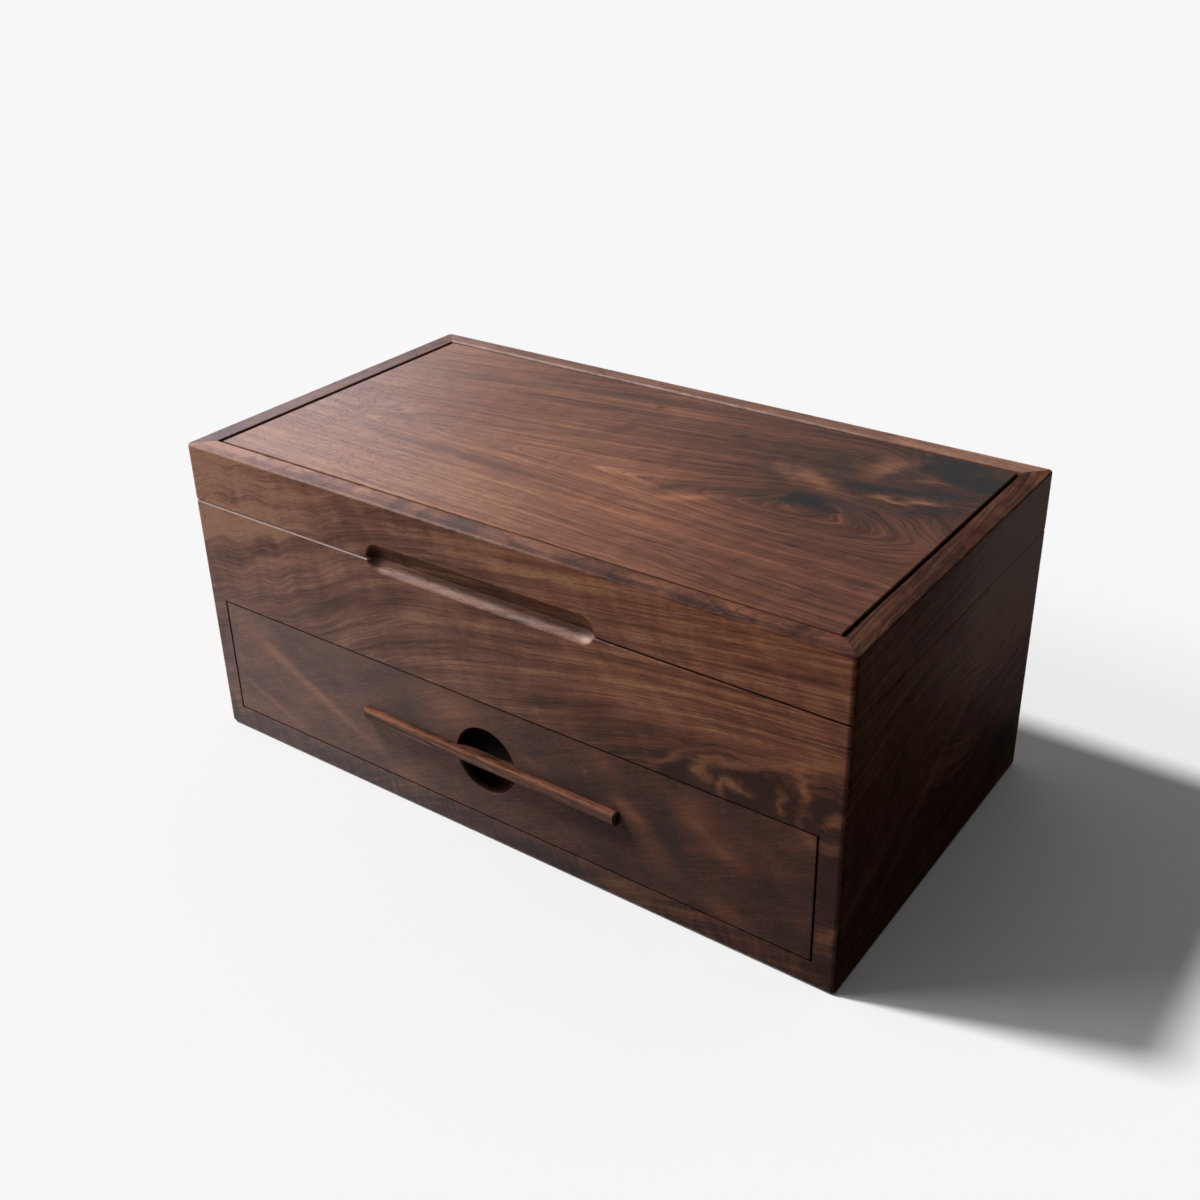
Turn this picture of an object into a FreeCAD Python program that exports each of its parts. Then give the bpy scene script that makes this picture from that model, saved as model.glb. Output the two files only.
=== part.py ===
import FreeCAD, Part
import math
import os

# Valet box in solid walnut: a mitred case with one inset drawer, and a hinged lid over a
# divided compartment. X runs to the right, Y to the back and Z up. The origin is at the
# middle of the outline at the height of the surface that the box stands on. Sizes are in mm.

# Outline
case_width = 380.0
case_depth = 206.0
closed_height = 170.0
wall = 11.4
seam_height = 138.8
lid_gap = 0.35

# Rounding and easing of the edges
corner_radius = 2.6
base_radius = 2.2
top_radius = 1.2
seam_round = 1.1
lid_seam_ease = 0.3
inner_ease = 0.4

# Panels let into grooves
groove_depth = 5.0
groove_end_clearance = 0.4
groove_face_clearance = 0.05

# Case bottom and compartment floor
bottom_recess = 4.5
bottom_thickness = 5.0
floor_above_opening = 2.6
floor_thickness = 6.0

# Drawer opening in the front board
opening_bottom = 13.5
opening_height = 68.0

# Finger cove, half in the lid and half in the case
cove_length = 134.5
cove_height = 15.0
cove_depth = 4.2
cove_above_seam = 1.6

# Lid panel
panel_thickness = 9.0
panel_drop = 0.2
panel_tongue = 4.0
panel_gap_ends = 2.1
panel_gap_front = 1.3

# Drawer
drawer_gap_ends = 0.9
drawer_gap_above = 0.6
drawer_gap_below = 0.6
front_board = 11.4
drawer_side = 8.0
drawer_side_height = 62.0
drawer_back_board = 8.0
drawer_bottom_thickness = 4.0
drawer_bottom_recess = 4.0
drawer_groove = 4.0
drawer_lap = 6.0

# Pull bar and the round recess behind it
pull_length = 156.5
pull_height = 6.4
pull_proud = 3.5
pull_let_in = 2.2
pull_bevel = 1.1
recess_diameter = 36.0
recess_ease = 0.4
recess_depth = 8.0
glue_clearance = 0.02

# Runners, kickers and stops for the drawer
runner_width = 12.0
runner_clearance = 0.1
kicker_clearance = 0.5
kicker_setback = 1.0
stop_width = 24.0
stop_thickness = 8.0
stop_height = 20.0
stop_inset = 50.0
stop_clearance = 0.2

# Dividers and liners
divider_thickness = 5.0
divider_drop = 8.7
divider_clearance = 0.2
long_divider_y = 18.0
front_divider_x = 62.0
back_divider_x = -48.0
liner_thickness = 2.5
liner_clearance = 0.4

# Hinges
hinge_length = 38.0
hinge_inset = 62.0
hinge_axis_offset = 1.2
leaf_width = 8.4
leaf_thickness = 2.0
knuckle_radius = 2.3
knuckle_length = 12.6
knuckle_clearance = 0.2
knuckle_end_clearance = 0.1
pin_radius = 1.0
pin_clearance = 0.04
mortise_clearance = 0.02
stop_angle = 95.0
stop_face_clearance = 0.05

# Hinge screws
screw_spacing = 13.0
screw_from_back = 4.4
screw_length = 9.0
screw_radius = 1.0
screw_head_radius = 2.0
screw_clearance = 0.03
pilot_extra = 1.0

# Places worked out from the sizes above
half_width = case_width / 2
half_depth = case_depth / 2
inner_half_width = half_width - wall
inner_half_depth = half_depth - wall
front_y = -half_depth
back_y = half_depth
lid_bottom = seam_height + lid_gap
opening_top = opening_bottom + opening_height
floor_bottom = opening_top + floor_above_opening
floor_top = floor_bottom + floor_thickness
bottom_top = bottom_recess + bottom_thickness
divider_top = seam_height - divider_drop
panel_top = closed_height - panel_drop
panel_bottom = panel_top - panel_thickness
drawer_bottom_z = opening_bottom + drawer_gap_below
drawer_front_height = opening_height - drawer_gap_above - drawer_gap_below
drawer_half_width = inner_half_width - drawer_gap_ends
drawer_side_top = drawer_bottom_z + drawer_side_height
drawer_back_y = inner_half_depth - stop_thickness - stop_clearance
drawer_floor_z = drawer_bottom_z + drawer_bottom_recess
pull_z = drawer_bottom_z + drawer_front_height / 2
hinge_y = back_y + hinge_axis_offset
hinge_z = seam_height + lid_gap / 2
hinge_centres = (-half_width + hinge_inset, half_width - hinge_inset)
far = 2 * (case_width + case_depth + closed_height)


def block(x0, x1, y0, y1, z0, z1):
    """Box between two corners."""
    return Part.makeBox(x1 - x0, y1 - y0, z1 - z0, FreeCAD.Vector(x0, y0, z0))


def rod_x(x0, x1, y, z, radius):
    """Cylinder along X."""
    return Part.makeCylinder(radius, x1 - x0, FreeCAD.Vector(x0, y, z), FreeCAD.Vector(1, 0, 0))


def joined(shapes):
    """One solid from overlapping solids."""
    return shapes[0].multiFuse(shapes[1:]).removeSplitter()


def edges_where(shape, test):
    """Edges whose two ends and middle all pass a test on a point."""
    found = []
    for edge in shape.Edges:
        middle = edge.valueAt((edge.FirstParameter + edge.LastParameter) / 2)
        if all(test(point) for point in [vertex.Point for vertex in edge.Vertexes] + [middle]):
            found.append(edge)
    return found


def near(a, b):
    return abs(a - b) < 1e-6


def eased(shape, size, test):
    """Shape with a small bevel on the edges that pass the test."""
    return shape.makeChamfer(size, edges_where(shape, test))


def rounded_block(height):
    """Outline of the box with its four upright corners rounded."""
    blank = block(-half_width, half_width, front_y, back_y, 0, height)
    upright = [edge for edge in blank.Edges if near(edge.Vertexes[0].X, edge.Vertexes[1].X)
               and near(edge.Vertexes[0].Y, edge.Vertexes[1].Y)]
    return blank.makeFillet(corner_radius, upright)


def case_blank():
    """Outer form of the case, rounded at its foot and at the seam."""
    blank = rounded_block(seam_height)
    blank = blank.makeFillet(base_radius, edges_where(blank, lambda p: near(p.z, 0)))
    return blank.makeFillet(seam_round, edges_where(blank, lambda p: near(p.z, seam_height)))


def lid_blank():
    """Outer form of the lid, rounded at its top and eased at the seam."""
    height = closed_height - lid_bottom
    blank = rounded_block(height)
    blank = blank.makeFillet(top_radius, edges_where(blank, lambda p: near(p.z, height)))
    blank = eased(blank, lid_seam_ease, lambda p: near(p.z, 0))
    blank.translate(FreeCAD.Vector(0, 0, lid_bottom))
    return blank


def mitred_plan(side):
    """Plan of one wall, cut at 45 degrees where it meets its neighbours."""
    outer = [(-half_width, front_y), (half_width, front_y), (half_width, back_y), (-half_width, back_y)]
    inner = [(-inner_half_width, -inner_half_depth), (inner_half_width, -inner_half_depth),
             (inner_half_width, inner_half_depth), (-inner_half_width, inner_half_depth)]
    start = ("front", "right", "back", "left").index(side)
    end = (start + 1) % 4
    return [outer[start], outer[end], inner[end], inner[start]]


def wall_board(blank, side, rim_z):
    """One mitred wall cut from the outer form, with its inner edge eased at rim_z."""
    points = [FreeCAD.Vector(x, y, -far) for x, y in mitred_plan(side)]
    prism = Part.Face(Part.makePolygon(points + points[:1])).extrude(FreeCAD.Vector(0, 0, 2 * far))
    board = blank.common(prism).Solids[0]
    if side in ("front", "back"):
        return eased(board, inner_ease, lambda p: near(p.z, rim_z) and near(abs(p.y), inner_half_depth))
    return eased(board, inner_ease, lambda p: near(p.z, rim_z) and near(abs(p.x), inner_half_width))


def groove_cutter(z0, thickness):
    """Ring that cuts the grooves for a panel of this thickness in all four walls."""
    reach_x = inner_half_width + groove_depth
    reach_y = inner_half_depth + groove_depth
    return block(-reach_x, reach_x, -reach_y, reach_y,
                 z0 - groove_face_clearance, z0 + thickness + groove_face_clearance)


def grooved_panel(z0, thickness):
    """Panel that sits in the grooves of the four walls."""
    reach_x = inner_half_width + groove_depth - groove_end_clearance
    reach_y = inner_half_depth + groove_depth - groove_end_clearance
    return block(-reach_x, reach_x, -reach_y, reach_y, z0, z0 + thickness)


def cove_cutter():
    """Round-nosed hollow with ball ends, across the seam on the front face."""
    half_chord = cove_height / 2
    radius = (half_chord ** 2 + cove_depth ** 2) / (2 * cove_depth)
    y = front_y - (radius - cove_depth)
    z = seam_height + cove_above_seam
    reach = cove_length / 2 - half_chord
    rod = rod_x(-reach, reach, y, z, radius)
    balls = [Part.makeSphere(radius, FreeCAD.Vector(x, y, z)) for x in (-reach, reach)]
    return rod.fuse(balls)


def knuckle_spans(centre):
    """Stretches of the hinge along X: case knuckle, lid knuckle, case knuckle."""
    start = centre - hinge_length / 2
    end = centre + hinge_length / 2
    middle = (centre - knuckle_length / 2, centre + knuckle_length / 2)
    return ((start, middle[0]), middle, (middle[1], end))


def screw_places():
    """Places of the hinge screws in plan."""
    places = []
    for centre in hinge_centres:
        for step in (-1, 0, 1):
            places.append((centre + step * screw_spacing, back_y - screw_from_back))
    return places


def screw_form(x, y, z, direction, extra_radius, extra_length):
    """Countersunk screw whose head face lies at z and whose point is towards direction."""
    head_radius = screw_head_radius + extra_radius
    radius = screw_radius + extra_radius
    place = FreeCAD.Vector(x, y, z)
    axis = FreeCAD.Vector(0, 0, direction)
    head = Part.makeCone(head_radius, radius, head_radius - radius, place, axis)
    shank = Part.makeCylinder(radius, screw_length + extra_length, place, axis)
    return joined([head, shank])


def screw_holes(z, direction):
    """Clearance for every screw on one side of the hinge line."""
    return [screw_form(x, y, z, direction, screw_clearance, pilot_extra) for x, y in screw_places()]


def case_hinge_mortises():
    """Cuts in the back board for the case leaves, the knuckles and the sweep of the stop heels."""
    sweep = math.hypot(knuckle_radius, knuckle_radius) + knuckle_clearance
    cuts = []
    for centre in hinge_centres:
        first, middle, last = knuckle_spans(centre)
        cuts.append(block(first[0] - mortise_clearance, last[1] + mortise_clearance,
                          back_y - leaf_width - mortise_clearance, back_y + far,
                          seam_height - leaf_thickness - mortise_clearance, far))
        cuts.append(rod_x(first[0] - mortise_clearance, last[1] + mortise_clearance,
                          hinge_y, hinge_z, knuckle_radius + knuckle_clearance))
        cuts.append(rod_x(middle[0] - mortise_clearance, middle[1] + mortise_clearance,
                          hinge_y, hinge_z, sweep))
    return cuts


def lid_hinge_mortises():
    """Cuts in the lid's back rail for the lid leaves and the knuckles."""
    cuts = []
    for centre in hinge_centres:
        first, middle, last = knuckle_spans(centre)
        cuts.append(block(first[0] - mortise_clearance, last[1] + mortise_clearance,
                          back_y - leaf_width - mortise_clearance, back_y + far,
                          -far, lid_bottom + leaf_thickness + mortise_clearance))
        cuts.append(rod_x(first[0] - mortise_clearance, last[1] + mortise_clearance,
                          hinge_y, hinge_z, knuckle_radius + knuckle_clearance))
    return cuts


def case_front():
    board = wall_board(case_blank(), "front", seam_height)
    opening = block(-inner_half_width, inner_half_width, front_y - far, 0, opening_bottom, opening_top)
    cuts = [opening, cove_cutter(), groove_cutter(bottom_recess, bottom_thickness),
            groove_cutter(floor_bottom, floor_thickness)]
    return board.cut(cuts)


def case_wall(side):
    board = wall_board(case_blank(), side, seam_height)
    return board.cut([groove_cutter(bottom_recess, bottom_thickness),
                      groove_cutter(floor_bottom, floor_thickness)])


def case_back():
    return case_wall("back").cut(case_hinge_mortises() + screw_holes(seam_height, -1))


def lid_rail(side):
    rail = wall_board(lid_blank(), side, closed_height)
    return rail.cut(groove_cutter(panel_bottom, panel_tongue))


def lid_front_rail():
    return lid_rail("front").cut(cove_cutter())


def lid_back_rail():
    return lid_rail("back").cut(lid_hinge_mortises() + screw_holes(lid_bottom, 1))


def lid_panel():
    """Board flush with the rails, with a tongue round its lower face."""
    field = block(-inner_half_width + panel_gap_ends, inner_half_width - panel_gap_ends,
                  -inner_half_depth + panel_gap_front, inner_half_depth - panel_gap_front,
                  panel_bottom, panel_top)
    field = eased(field, inner_ease, lambda p: near(p.z, panel_top))
    return joined([field, grooved_panel(panel_bottom, panel_tongue)])


def pull_bar():
    """Square bar with its front edges bevelled, let into the drawer front."""
    bar = block(-pull_length / 2, pull_length / 2, front_y - pull_proud, front_y + pull_let_in,
                pull_z - pull_height / 2, pull_z + pull_height / 2)
    return eased(bar, pull_bevel, lambda p: near(p.y, front_y - pull_proud))


def pull_groove():
    """Shallow groove that the pull bar is glued into."""
    half_length = pull_length / 2 + glue_clearance
    half_height = pull_height / 2 + glue_clearance
    return block(-half_length, half_length, front_y - far, front_y + pull_let_in + glue_clearance,
                 pull_z - half_height, pull_z + half_height)


def pull_recess():
    """Round blind hole with an eased rim that leaves room for fingers behind the bar."""
    radius = recess_diameter / 2
    face = FreeCAD.Vector(0, front_y, pull_z)
    inward = FreeCAD.Vector(0, 1, 0)
    rim = Part.makeCone(radius + recess_ease, radius, recess_ease, face, inward)
    return joined([Part.makeCylinder(radius, recess_depth, face, inward), rim])


def drawer_bottom_groove():
    """Groove round the inside of the drawer for its bottom."""
    reach_x = drawer_half_width - drawer_side + drawer_groove
    return block(-reach_x, reach_x, front_y + front_board - drawer_groove,
                 drawer_back_y - drawer_back_board + drawer_groove,
                 drawer_floor_z - groove_face_clearance,
                 drawer_floor_z + drawer_bottom_thickness + groove_face_clearance)


def drawer_front():
    """Inset front with a lap at each end for the drawer sides."""
    top = drawer_bottom_z + drawer_front_height
    board = block(-drawer_half_width, drawer_half_width, front_y, front_y + front_board,
                  drawer_bottom_z, top)
    board = eased(board, inner_ease, lambda p: near(p.y, front_y))
    lap_y = front_y + front_board - drawer_lap
    lap_x = drawer_half_width - drawer_side
    laps = [block(-far, -lap_x, lap_y, far, -far, far), block(lap_x, far, lap_y, far, -far, far)]
    return board.cut(laps + [pull_groove(), pull_recess(), drawer_bottom_groove()])


def drawer_side_board(hand):
    """Drawer side on the left (hand -1) or right (hand 1)."""
    outer = hand * drawer_half_width
    inner = hand * (drawer_half_width - drawer_side)
    board = block(min(outer, inner), max(outer, inner), front_y + front_board - drawer_lap,
                  drawer_back_y, drawer_bottom_z, drawer_side_top)
    board = eased(board, inner_ease, lambda p: near(p.z, drawer_side_top) and near(p.x, inner))
    return board.cut(drawer_bottom_groove())


def drawer_back():
    half_length = drawer_half_width - drawer_side
    board = block(-half_length, half_length, drawer_back_y - drawer_back_board, drawer_back_y,
                  drawer_bottom_z, drawer_side_top)
    return board.cut(drawer_bottom_groove())


def drawer_bottom():
    reach_x = drawer_half_width - drawer_side + drawer_groove - groove_end_clearance
    return block(-reach_x, reach_x,
                 front_y + front_board - drawer_groove + groove_end_clearance,
                 drawer_back_y - drawer_back_board + drawer_groove - groove_end_clearance,
                 drawer_floor_z, drawer_floor_z + drawer_bottom_thickness)


def drawer_liner():
    half_length = drawer_half_width - drawer_side - liner_clearance
    z = drawer_floor_z + drawer_bottom_thickness
    return block(-half_length, half_length, front_y + front_board + liner_clearance,
                 drawer_back_y - drawer_back_board - liner_clearance, z, z + liner_thickness)


def runner(hand):
    """Strip on the case bottom that one drawer side slides on."""
    outer = hand * inner_half_width
    inner = hand * (inner_half_width - runner_width)
    return block(min(outer, inner), max(outer, inner), -inner_half_depth, inner_half_depth,
                 bottom_top, drawer_bottom_z - runner_clearance)


def kicker(hand):
    """Strip under the compartment floor that stops the open drawer from tipping."""
    outer = hand * inner_half_width
    inner = hand * (inner_half_width - runner_width)
    return block(min(outer, inner), max(outer, inner), -inner_half_depth + kicker_setback,
                 inner_half_depth, drawer_side_top + kicker_clearance, floor_bottom)


def drawer_stops():
    """Two blocks on the back board that the closed drawer meets."""
    blocks = []
    for hand in (-1, 1):
        middle = hand * (inner_half_width - stop_inset)
        blocks.append(block(middle - stop_width / 2, middle + stop_width / 2,
                            inner_half_depth - stop_thickness, inner_half_depth,
                            bottom_top, drawer_bottom_z + stop_height))
    return Part.makeCompound(blocks)


def long_divider():
    reach = inner_half_width - divider_clearance
    return block(-reach, reach, long_divider_y - divider_thickness / 2,
                 long_divider_y + divider_thickness / 2, floor_top, divider_top)


def front_divider():
    return block(front_divider_x - divider_thickness / 2, front_divider_x + divider_thickness / 2,
                 -inner_half_depth + divider_clearance,
                 long_divider_y - divider_thickness / 2 - divider_clearance,
                 floor_top, divider_top)


def back_divider():
    return block(back_divider_x - divider_thickness / 2, back_divider_x + divider_thickness / 2,
                 long_divider_y + divider_thickness / 2 + divider_clearance,
                 inner_half_depth - divider_clearance,
                 floor_top, divider_top)


def compartment_liner(row, hand):
    """Lining of one cell, in the front or back row, left or right of that row's divider."""
    half = divider_thickness / 2
    if row == "front":
        y0, y1, split = -inner_half_depth, long_divider_y - half, front_divider_x
    else:
        y0, y1, split = long_divider_y + half, inner_half_depth, back_divider_x
    x0, x1 = (-inner_half_width, split - half) if hand < 0 else (split + half, inner_half_width)
    return block(x0 + liner_clearance, x1 - liner_clearance, y0 + liner_clearance,
                 y1 - liner_clearance, floor_top, floor_top + liner_thickness)


def case_leaf(centre):
    """Leaf on the case: a plate with two outer knuckles and a slanted wall that stops the heel."""
    first, middle, last = knuckle_spans(centre)
    plate = block(first[0], last[1], back_y - leaf_width, hinge_y,
                  seam_height - leaf_thickness, seam_height)
    knuckles = [rod_x(first[0], first[1] - knuckle_end_clearance, hinge_y, hinge_z, knuckle_radius),
                rod_x(last[0] + knuckle_end_clearance, last[1], hinge_y, hinge_z, knuckle_radius)]
    room = block(middle[0] - knuckle_end_clearance, middle[1] + knuckle_end_clearance,
                 hinge_y - knuckle_radius - stop_face_clearance, hinge_y + far,
                 hinge_z - far, hinge_z + far)
    room.rotate(FreeCAD.Vector(0, hinge_y, hinge_z), FreeCAD.Vector(1, 0, 0), 90 - stop_angle)
    return joined([plate] + knuckles).cut([room, pin_bore(centre)] + screw_holes(seam_height, -1))


def lid_leaf(centre):
    """Leaf on the lid: a plate with one middle knuckle, squared below into a stop heel."""
    first, middle, last = knuckle_spans(centre)
    plate = block(first[0], last[1], back_y - leaf_width, hinge_y,
                  lid_bottom, lid_bottom + leaf_thickness)
    room = [rod_x(first[0] - knuckle_end_clearance, first[1], hinge_y, hinge_z,
                  knuckle_radius + knuckle_clearance),
            rod_x(last[0], last[1] + knuckle_end_clearance, hinge_y, hinge_z,
                  knuckle_radius + knuckle_clearance)]
    knuckle = rod_x(middle[0], middle[1], hinge_y, hinge_z, knuckle_radius)
    heel = block(middle[0], middle[1], hinge_y, hinge_y + knuckle_radius,
                 hinge_z - knuckle_radius, hinge_z)
    leaf = joined([plate.cut(room), knuckle, heel])
    return leaf.cut([pin_bore(centre)] + screw_holes(lid_bottom, 1))


def pin_bore(centre):
    return rod_x(centre - far, centre + far, hinge_y, hinge_z, pin_radius + pin_clearance)


def hinge_pin(centre):
    return rod_x(centre - hinge_length / 2, centre + hinge_length / 2, hinge_y, hinge_z, pin_radius)


def hinge_screws(z, direction):
    return Part.makeCompound([screw_form(x, y, z, direction, 0, 0) for x, y in screw_places()])


left_hinge, right_hinge = hinge_centres
parts = {
    "case_front": case_front(),
    "case_back": case_back(),
    "case_left_side": case_wall("left"),
    "case_right_side": case_wall("right"),
    "case_bottom": grooved_panel(bottom_recess, bottom_thickness),
    "compartment_floor": grooved_panel(floor_bottom, floor_thickness),
    "drawer_runner_left": runner(-1),
    "drawer_runner_right": runner(1),
    "drawer_kicker_left": kicker(-1),
    "drawer_kicker_right": kicker(1),
    "drawer_stops": drawer_stops(),
    "long_divider": long_divider(),
    "front_divider": front_divider(),
    "back_divider": back_divider(),
    "liner_front_left": compartment_liner("front", -1),
    "liner_front_right": compartment_liner("front", 1),
    "liner_back_left": compartment_liner("back", -1),
    "liner_back_right": compartment_liner("back", 1),
    "hinge_case_leaf_left": case_leaf(left_hinge),
    "hinge_case_leaf_right": case_leaf(right_hinge),
    "hinge_pin_left": hinge_pin(left_hinge),
    "hinge_pin_right": hinge_pin(right_hinge),
    "hinge_case_screws": hinge_screws(seam_height, -1),
    "lid_front_rail": lid_front_rail(),
    "lid_back_rail": lid_back_rail(),
    "lid_left_rail": lid_rail("left"),
    "lid_right_rail": lid_rail("right"),
    "lid_panel": lid_panel(),
    "hinge_lid_leaf_left": lid_leaf(left_hinge),
    "hinge_lid_leaf_right": lid_leaf(right_hinge),
    "hinge_lid_screws": hinge_screws(lid_bottom, 1),
    "drawer_front": drawer_front(),
    "drawer_left_side": drawer_side_board(-1),
    "drawer_right_side": drawer_side_board(1),
    "drawer_back": drawer_back(),
    "drawer_bottom": drawer_bottom(),
    "drawer_liner": drawer_liner(),
    "pull_bar": pull_bar(),
}

os.makedirs("parts", exist_ok=True)
for name, shape in parts.items():
    box = shape.BoundBox
    print(name, len(shape.Solids), shape.isValid(), round(shape.Volume, 1),
          [round(v, 2) for v in (box.XMin, box.XMax, box.YMin, box.YMax, box.ZMin, box.ZMax)])
    shape.exportStep("parts/" + name + ".step")
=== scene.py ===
import math

import bmesh
import bpy
from mathutils import Matrix, Vector, noise


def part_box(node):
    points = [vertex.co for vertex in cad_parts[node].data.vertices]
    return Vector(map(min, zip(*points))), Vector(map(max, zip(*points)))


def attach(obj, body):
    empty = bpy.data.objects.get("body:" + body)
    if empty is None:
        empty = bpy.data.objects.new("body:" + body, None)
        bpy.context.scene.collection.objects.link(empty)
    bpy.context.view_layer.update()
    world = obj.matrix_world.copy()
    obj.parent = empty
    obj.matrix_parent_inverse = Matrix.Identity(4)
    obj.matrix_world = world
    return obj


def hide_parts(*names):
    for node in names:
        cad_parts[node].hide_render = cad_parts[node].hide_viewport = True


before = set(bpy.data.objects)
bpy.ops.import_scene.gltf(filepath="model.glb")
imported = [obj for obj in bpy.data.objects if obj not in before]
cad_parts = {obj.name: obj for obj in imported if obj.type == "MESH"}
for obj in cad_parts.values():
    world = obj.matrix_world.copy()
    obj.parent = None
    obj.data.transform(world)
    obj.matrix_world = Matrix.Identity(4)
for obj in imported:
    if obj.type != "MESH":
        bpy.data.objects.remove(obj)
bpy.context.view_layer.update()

# Camera, solved for the photograph's view of the box
CAMERA_PLACE = (0.38220, -0.52565, 0.45136)
CAMERA_AZIMUTH = 36.0585
CAMERA_ELEVATION = 27.6167
CAMERA_ROLL = -1.3076
CAMERA_LENS = 42.863
CAMERA_SENSOR = 36.0
CAMERA_SHIFT = (-0.0050, -0.0325)
CAMERA_NEAR = 0.01

# Lamps: name, the way the light travels, strength, angle in degrees and colour
WHITE = (1.0, 1.0, 1.0)
LAMPS = (
    ("key", (0.59, 0.18, -0.77), 3.08, 6.5, WHITE),
    ("fill", (0.73, 0.46, -0.50), 0.66, 18.0, WHITE),
    ("sheen", (0.908, -0.243, -0.342), 4.9, 60.0, (1.0, 0.965, 1.07)),
)

# Sky: brightest in one direction, in degrees, and darkest past the angle whose cosine is SKY_EDGE
SKY_AZIMUTH = 145.0
SKY_ELEVATION = 55.0
SKY_EDGE = -0.3
SKY_BRIGHT = 0.20
SKY_DARK = 0.028
BACKGROUND = (0.913, 0.913, 0.913)

# Floor: its size in metres, the colour that shows, and the two that light the box, which blend from left
# to right between two places in mm
FLOOR_SIZE = 40.0
FLOOR_COLOUR = (0.90, 0.90, 0.90)
FLOOR_BOUNCE_LEFT = (0.95, 0.93, 0.92)
FLOOR_BOUNCE_RIGHT = (0.03, 0.03, 0.03)
FLOOR_BOUNCE_FROM = -420.0
FLOOR_BOUNCE_TO = 260.0
FLOOR_ROUGHNESS = 0.9

# Walnut colours, linear
DARK = (0.034, 0.0135, 0.0095)
BROWN = (0.105, 0.043, 0.0265)
TAN = (0.215, 0.093, 0.057)
PALE = (0.355, 0.178, 0.100)
SMOKE = (0.013, 0.0125, 0.014)
GOLD = (0.380, 0.180, 0.098)
# painted haze of reflected light
HAZE_PAINT = (0.400, 0.400, 0.420)
# painted shade, and the panel's darker knots
BLACK = (0.004, 0.002, 0.0015)
PORE = (0.022, 0.009, 0.006)
# painted highlight on edges and in the finger cove
HIGHLIGHT_PAINT = (0.560, 0.400, 0.350)
WARM_CAST = (1.17, 0.94, 0.79)
COOL_CAST = (0.98, 0.95, 1.24)
WALNUT_STOPS = ((0.0, DARK), (0.36, BROWN), (0.70, TAN), (1.0, PALE))

# Brass and suede colours, linear
BRASS = (0.78, 0.57, 0.28)
BRASS_DULL = (0.60, 0.41, 0.19)
SUEDE_STOPS = ((0.0, (0.045, 0.041, 0.038)), (0.5, (0.085, 0.079, 0.074)), (1.0, (0.140, 0.132, 0.124)))

# Kinds of walnut grain, in mm: how long a streak is, how wide across the grain and how deep
SLOW_WANDER = (40.0, 14.0, 16.0)
QUICK_WANDER = (11.0, 7.0, 9.0)
BAND = (130.0, 9.0, 20.0)
VEIN = (60.0, 2.1, 6.0)
FIBRE = (12.0, 0.5, 1.5)
RING_FADE = (60.0, 8.0, 12.0)
RING_WANDER = (90.0, 14.0, 20.0)
PORE_STREAK = (2.8, 0.2, 0.35)
DASH_STREAK = (5.5, 0.42, 0.7)

# How far the grain wanders and the boards lie apart in the noise, in mm, and how strongly it shows
SLOW_WANDER_REACH = 4.0
QUICK_WANDER_REACH = 0.9
BOARD_STEP = 131.0
RING_SPACING = 3.2
RING_SHARPNESS = 4.0
RING_WANDER_REACH = 5.0
ARCH_SPACING = 5.4
ARCH_SHARPNESS = 3.0
FIBRE_PART = 0.60
DASH_PART = 0.14
PORE_PART = 0.45

# Relief heights in metres
PORE_DEPTH = 0.00006
BRUSH_DEPTH = 0.00002
FIBRE_DEPTH = 0.00015

# Liners, in metres: suede that is wrapped over card
LINER_CORNER = 0.0030
LINER_EDGE = 0.0014
LINER_FOOT = 0.0004
LINER_SLACK = 0.0007
LINER_RIPPLE = 0.00022
RIPPLES_PER_METRE = 26.0
RIPPLE_SHIFT_PER_METRE = 40.0
RIPPLE_SLICE = 0.3
LINER_BORDER = 0.01
LINER_STEP = 0.005
LINER_EDGE_PLACES = (0.0, 0.0002, 0.0005, 0.0009, 0.0014, 0.0022, 0.0040, 0.0070)

MM_PER_METRE = 1000.0
X, Y, Z = 0, 1, 2
LOW, HIGH = 0, 1


def plane(node, end, axis):
    """Where a CAD node begins (LOW) or ends (HIGH) along an axis, in mm."""
    return round(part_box(node)[end][axis] * MM_PER_METRE, 3)


# Planes of the box in mm, from the CAD
FRONT_FACE = plane("case_front", LOW, Y)
SEAM = plane("case_front", HIGH, Z)
LID_TOP = plane("lid_front_rail", HIGH, Z)
FRONT_RAIL_INNER = plane("lid_front_rail", HIGH, Y)
BACK_RAIL_INNER = plane("lid_back_rail", LOW, Y)
RIGHT_RAIL_INNER = plane("lid_right_rail", LOW, X)
DRAWER_END = plane("drawer_front", HIGH, X)
DRAWER_TOP = plane("drawer_front", HIGH, Z)
DRAWER_MIDDLE = (plane("drawer_front", LOW, Z) + DRAWER_TOP) / 2
PULL_END = plane("pull_bar", HIGH, X)
PULL_TOP = plane("pull_bar", HIGH, Z)

# How the front's grain climbs to the right, in mm. Each row is a soft step: its middle, width and height
CASE_SLOPE = 0.20
CASE_START = -8.0
CASE_STEPS = ((-84.0, 50.0, 36.0), (62.0, 40.0, 16.0))
LID_SLOPE = 0.11
LID_STEPS = ((-88.0, 20.0, 9.0), (110.0, 60.0, 6.0))
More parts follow.
